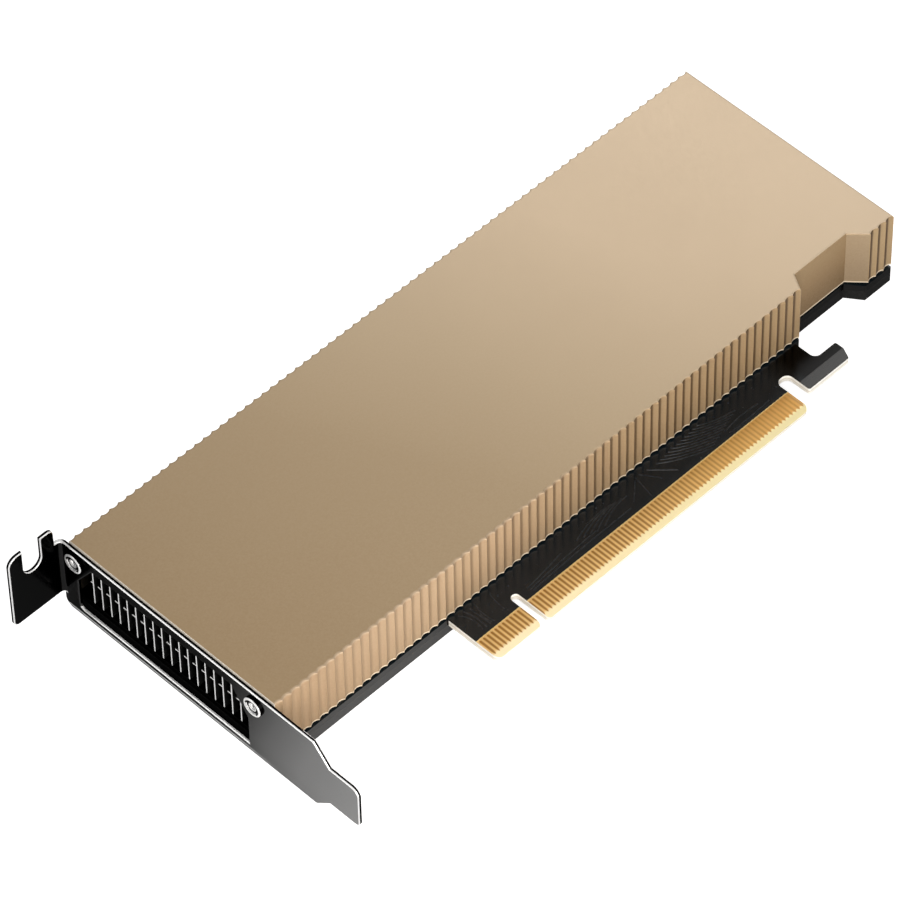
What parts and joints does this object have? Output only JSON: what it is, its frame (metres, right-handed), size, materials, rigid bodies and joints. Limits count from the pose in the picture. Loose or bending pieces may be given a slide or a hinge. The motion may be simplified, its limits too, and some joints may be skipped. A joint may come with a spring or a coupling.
{
  "type": "passive accelerator card",
  "caption": "Low-profile passive accelerator card: fluted gold metal cover over a finned heat sink, slotted edge-contact board, rear plate and windowed mounting bracket.",
  "frame": {"origin": "on the board's component side, at the key notch's centre line and the foot of the contact edge", "axes": "+X along the card from the bracket to the far end, +Y from the contact edge to the card's top edge, +Z out of the board's component side"},
  "size_m": [0.1803, 0.0796, 0.023],
  "materials": {
    "shell_gold": "satin",
    "heatsink_metal": "satin",
    "board_black": "matte",
    "contact_gold": "polished",
    "bracket_black": "polished",
    "screw_steel": "polished",
    "backplate_grey": "matte",
    "film_black": "matte",
    "chip_black": "satin",
    "substrate_green": "satin",
    "silicon": "polished",
    "ferrite": "matte",
    "ceramic_tan": "matte",
    "pad_grey": "matte",
    "spring_steel": "satin"
  },
  "bodies": {
    "root": {"cover": "shell_gold", "fin_stack": "heatsink_metal", "base_plate": "heatsink_metal", "circuit_board": "board_black", "contacts_component_side": "contact_gold", "contacts_solder_side": "contact_gold", "bracket": "bracket_black", "bracket_screws": "screw_steel", "backplate": "backplate_grey", "insulating_film": "film_black", "cover_screws": "screw_steel", "base_screws": "screw_steel", "clamp_plate": "spring_steel", "clamp_screws": "screw_steel", "processor_substrate": "substrate_green", "processor_stiffener": "spring_steel", "processor_die": "silicon", "processor_paste": "pad_grey", "memory_chips": "chip_black", "memory_pads": "pad_grey", "inductors": "ferrite", "inductor_pads": "pad_grey", "power_stages": "chip_black", "power_stage_pads": "pad_grey", "bulk_capacitors": "chip_black", "ceramic_capacitors": "ceramic_tan", "decoupling_capacitors": "ceramic_tan", "power_controllers": "chip_black", "flash_chip": "chip_black", "clock_crystal": "screw_steel"}
  },
  "joints": []
}
